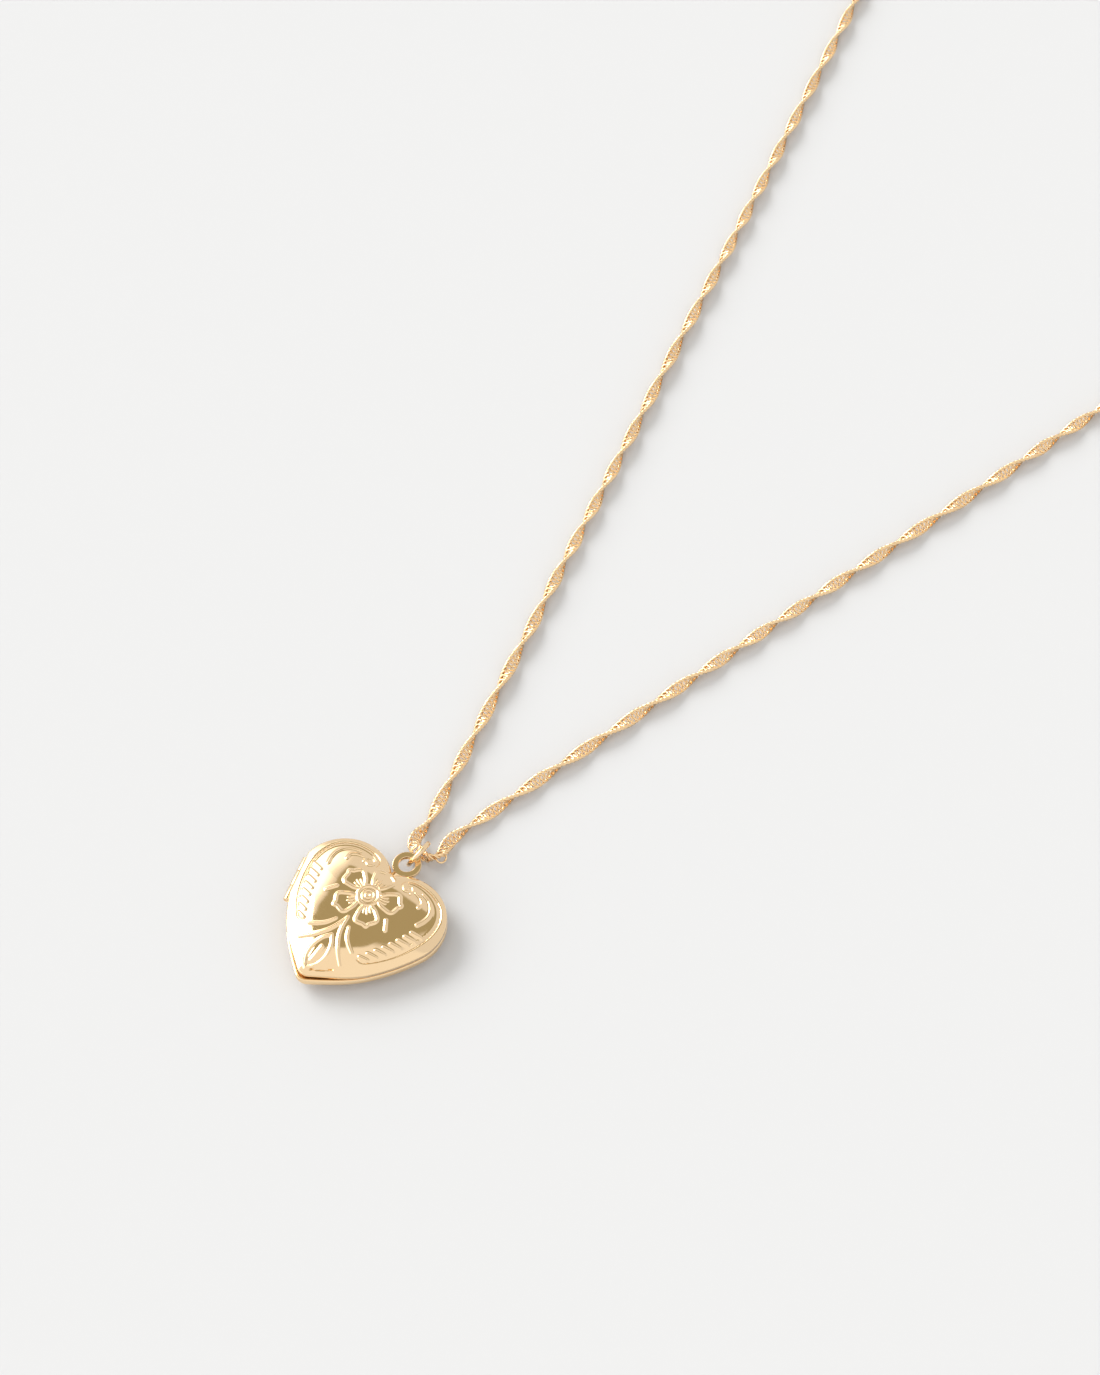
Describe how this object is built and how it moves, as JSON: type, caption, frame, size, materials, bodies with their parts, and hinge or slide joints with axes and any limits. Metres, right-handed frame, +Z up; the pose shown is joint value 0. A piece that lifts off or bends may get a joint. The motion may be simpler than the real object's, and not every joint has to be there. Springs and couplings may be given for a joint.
{
  "type": "heart locket",
  "caption": "Small domed heart locket with a flower pattern on its hinged front cover, on a fine twisted curb chain with a sprung clasp.",
  "frame": {"origin": "on the surface the locket lies on, under the middle of the locket with its bail and jump ring", "axes": "+Z up out of the front cover, +Y from the tip of the heart to the bail, hinge on the -X side"},
  "size_m": [0.1188, 0.1945, 0.0047],
  "materials": {
    "gold_polished": "polished gold plating",
    "gold_inner": "satin gold plating",
    "gold_wire": "polished gold plated wire",
    "gold_chain": "polished gold plated chain",
    "window_film": "clear film",
    "spring_steel": "bright spring wire"
  },
  "bodies": {
    "root": {"back_cover": "gold_polished", "back_photo_frame": "gold_inner", "back_window": "window_film", "catch_bead": "gold_polished", "bail": "gold_polished", "hinge_pin": "gold_wire", "back_knuckle": "gold_polished", "chain_left": "gold_chain", "chain_right": "gold_chain", "chain_left_coil": "gold_chain", "chain_right_coil": "gold_chain", "clasp_body": "gold_polished", "clasp_pin": "gold_wire", "clasp_spring": "spring_steel", "clasp_ring": "gold_wire", "end_ring": "gold_wire"},
    "front_half": {"front_cover": "gold_polished", "front_photo_frame": "gold_inner", "front_window": "window_film", "front_knuckles": "gold_polished"},
    "jump_ring": {"jump_ring": "gold_wire"},
    "clasp_lever": {"clasp_lever": "gold_polished"}
  },
  "joints": [
    {"name": "case_hinge", "type": "hinge", "parent": "root", "child": "front_half", "pos_m": [-0.00868, -0.00209, 0.0026], "axis": [0.309, -0.9511, 0], "range_deg": [0, 170]},
    {"name": "jump_ring_swing", "type": "hinge", "parent": "root", "child": "jump_ring", "pos_m": [0.0002, 0.00899, 0.0022], "axis": [1, 0, 0], "range_deg": [-4, 20]},
    {"name": "clasp_trigger", "type": "hinge", "parent": "root", "child": "clasp_lever", "pos_m": [-0.05783, 0.17256, 0.00115], "axis": [0, 0, 1], "range_deg": [0, 25], "stiffness_Nm_per_rad": 0.002, "springref_deg": -17.19}
  ]
}
